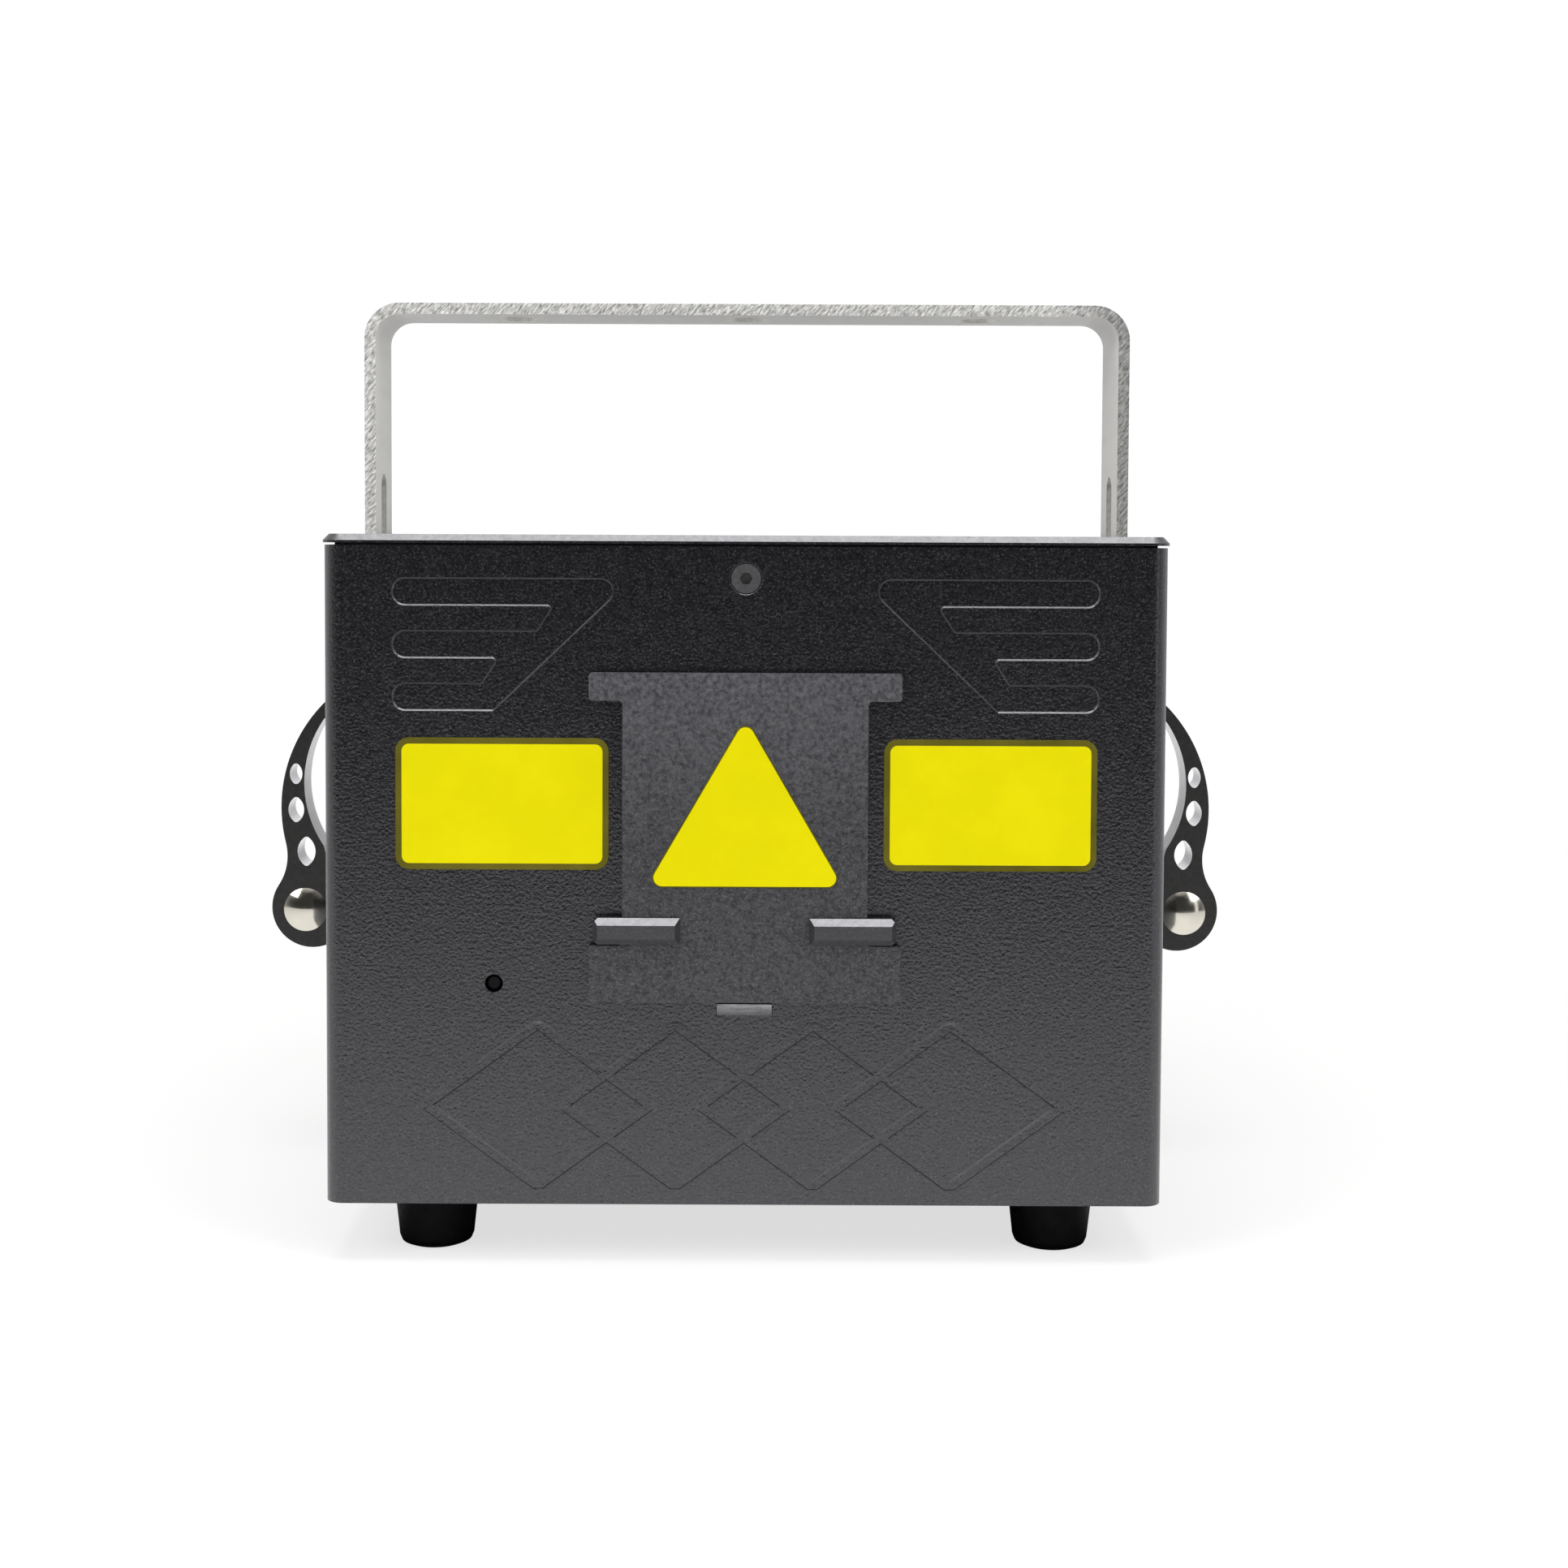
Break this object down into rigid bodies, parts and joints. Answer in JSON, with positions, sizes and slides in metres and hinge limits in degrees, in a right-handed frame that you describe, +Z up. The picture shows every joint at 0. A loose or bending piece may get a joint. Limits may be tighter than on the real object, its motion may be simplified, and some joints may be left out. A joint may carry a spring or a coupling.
{
  "type": "laser show projector",
  "caption": "Boxy stage laser projector with a drop-down beam shutter on its embossed front, rubber feet and a slotted hanging yoke held by cam levers.",
  "frame": {"origin": "middle of the outline in X and Y, at the level of the feet", "axes": "+Z up, front with the shutter towards -Y, +X to the right of someone who looks at the front"},
  "size_m": [0.305, 0.248, 0.2726],
  "materials": {
    "case_paint": "fine-textured black powder coat",
    "shutter_paint": "fine-textured dark grey powder coat",
    "guide_paint": "black powder coat",
    "screw_steel": "dark zinc",
    "foot_rubber": "matt moulded",
    "window_glass": "clear, coated",
    "lamp_lens": "diffused lens",
    "bracket_aluminium": "mill finish with sawn edges",
    "lever_black": "glass-filled, satin",
    "pin_chrome": "polished",
    "clamp_steel": "turned",
    "clamp_plastic": "matt",
    "optics_aluminium": "black anodised",
    "filter_glass": "dichroic coat",
    "mirror_silver": "front-silvered",
    "motor_steel": "plated",
    "board_resin": "solder mask",
    "moulded_black": "moulded",
    "rocker_red": "moulded",
    "button_grey": "moulded",
    "contact_brass": "plated",
    "display_face": "smooth"
  },
  "bodies": {
    "housing": {"main_shell": "case_paint", "base_plate": "case_paint", "lid": "case_paint", "rear_panel": "case_paint", "safety_eye": "case_paint", "shutter_guide_right": "guide_paint", "shutter_guide_left": "guide_paint", "lid_screws": "screw_steel", "base_screws": "screw_steel", "rear_screws": "screw_steel", "foot_screws": "screw_steel", "fan_screws": "screw_steel", "rubber_feet": "foot_rubber", "aperture_window": "window_glass", "emission_led": "lamp_lens", "lever_pins": "pin_chrome", "key_switch": "pin_chrome", "clamp_studs": "clamp_steel", "stud_inserts": "clamp_steel", "friction_washers": "clamp_plastic", "cam_followers": "clamp_plastic", "optics_plate": "optics_aluminium", "optics_posts": "optics_aluminium", "combiner_mounts": "optics_aluminium", "scanner_block": "optics_aluminium", "window_frame": "optics_aluminium", "red_laser": "optics_aluminium", "green_laser": "optics_aluminium", "blue_laser": "optics_aluminium", "dichroic_filters": "filter_glass", "scanner_motor_horizontal": "motor_steel", "scanner_motor_vertical": "motor_steel", "power_supply": "motor_steel", "fan_guard": "motor_steel", "laser_driver_board": "board_resin", "scanner_driver_board": "board_resin", "control_board": "board_resin", "fan_frame": "moulded_black", "power_inlet": "moulded_black", "switch_body": "moulded_black", "data_input": "moulded_black", "data_output": "moulded_black", "inlet_pins": "contact_brass", "data_contacts": "contact_brass", "display": "display_face"},
    "shutter": {"shutter_plate": "shutter_paint"},
    "yoke_carrier": {"slot_bushes": "clamp_plastic"},
    "yoke": {"yoke": "bracket_aluminium"},
    "lever_left": {"cam_lever_left": "lever_black"},
    "lever_right": {"cam_lever_right": "lever_black"},
    "mirror_horizontal": {"scanner_mirror_horizontal": "mirror_silver"},
    "mirror_vertical": {"scanner_mirror_vertical": "mirror_silver"},
    "fan": {"fan_rotor": "moulded_black"},
    "rocker": {"power_rocker": "rocker_red"},
    "key": {"key_rotor": "pin_chrome"},
    "button_1": {"menu_button_1": "button_grey"},
    "button_2": {"menu_button_2": "button_grey"},
    "button_3": {"menu_button_3": "button_grey"},
    "button_4": {"menu_button_4": "button_grey"}
  },
  "joints": [
    {"name": "shutter_slide", "type": "slide", "parent": "housing", "child": "shutter", "axis": [0, 0, -1], "range_m": [0, 0.0587]},
    {"name": "yoke_tilt", "type": "hinge", "parent": "housing", "child": "yoke_carrier", "pos_m": [0, -0.007, 0.0787], "axis": [1, 0, 0], "range_deg": [-90, 90]},
    {"name": "yoke_height", "type": "slide", "parent": "yoke_carrier", "child": "yoke", "axis": [0, 0, -1], "range_m": [0, 0.06]},
    {"name": "lever_right_turn", "type": "hinge", "parent": "housing", "child": "lever_right", "pos_m": [0.1417, -0.007, 0.0787], "axis": [0, 1, 0], "range_deg": [0, 120]},
    {"name": "lever_left_turn", "type": "hinge", "parent": "housing", "child": "lever_left", "pos_m": [-0.1417, -0.007, 0.0787], "axis": [0, -1, 0], "range_deg": [0, 120]},
    {"name": "mirror_horizontal_turn", "type": "hinge", "parent": "housing", "child": "mirror_horizontal", "pos_m": [0, -0.092, 0.119], "axis": [0, 1, 0], "range_deg": [-20, 20]},
    {"name": "mirror_vertical_turn", "type": "hinge", "parent": "housing", "child": "mirror_vertical", "pos_m": [0, -0.092, 0.131], "axis": [1, 0, 0], "range_deg": [-20, 20]},
    {"name": "fan_spin", "type": "hinge", "parent": "housing", "child": "fan", "pos_m": [-0.06, 0.083, 0.147], "axis": [0, 1, 0], "continuous": true},
    {"name": "rocker_tip", "type": "hinge", "parent": "housing", "child": "rocker", "pos_m": [-0.062, 0.105, 0.09], "axis": [-1, 0, 0], "range_deg": [0, 20]},
    {"name": "key_turn", "type": "hinge", "parent": "housing", "child": "key", "pos_m": [0.075, 0.103, 0.096], "axis": [0, 1, 0], "range_deg": [0, 90]},
    {"name": "button_1_press", "type": "slide", "parent": "housing", "child": "button_1", "axis": [0, -1, 0], "range_m": [0, 0.0008], "stiffness_N_per_m": 800},
    {"name": "button_2_press", "type": "slide", "parent": "housing", "child": "button_2", "axis": [0, -1, 0], "range_m": [0, 0.0008], "stiffness_N_per_m": 800},
    {"name": "button_3_press", "type": "slide", "parent": "housing", "child": "button_3", "axis": [0, -1, 0], "range_m": [0, 0.0008], "stiffness_N_per_m": 800},
    {"name": "button_4_press", "type": "slide", "parent": "housing", "child": "button_4", "axis": [0, -1, 0], "range_m": [0, 0.0008], "stiffness_N_per_m": 800}
  ]
}
